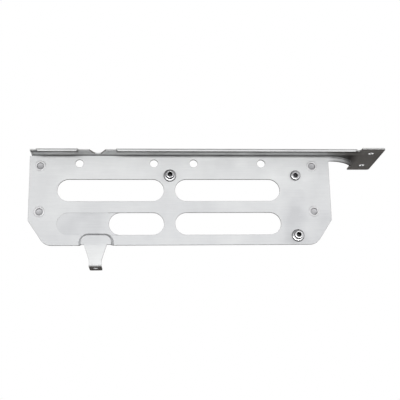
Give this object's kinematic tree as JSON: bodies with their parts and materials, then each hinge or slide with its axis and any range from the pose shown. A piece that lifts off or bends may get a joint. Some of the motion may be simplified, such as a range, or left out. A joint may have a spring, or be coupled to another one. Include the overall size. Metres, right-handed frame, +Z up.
{
  "type": "riser cage bracket",
  "caption": "Folded zinc-coated sheet bracket for a server riser card: slotted upright plate, top flange with return lip, screw ear, joggled foot, clinched standoffs and hook pins.",
  "frame": {"origin": "axis of the foot's screw hole, on the underside of the foot", "axes": "+X along the bracket towards the screw ear, +Y from the standoff side to the back, +Z up towards the flange, as it is fitted"},
  "size_m": [0.236, 0.0458, 0.0764],
  "materials": {
    "zinc_sheet": "satin zinc-coated steel sheet, stamped and folded",
    "plated_standoff": "turned steel, bright zinc plated",
    "plated_pin": "turned steel, riveted, dull zinc plated"
  },
  "bodies": {
    "root": {"sheet_bracket": "zinc_sheet", "standoff_upper_left": "plated_standoff", "standoff_upper_right": "plated_standoff", "standoff_lower_right": "plated_standoff", "hook_pin_upper_left": "plated_pin", "hook_pin_lower_left": "plated_pin", "hook_pin_upper_right": "plated_pin", "hook_pin_lower_right": "plated_pin"}
  },
  "joints": []
}
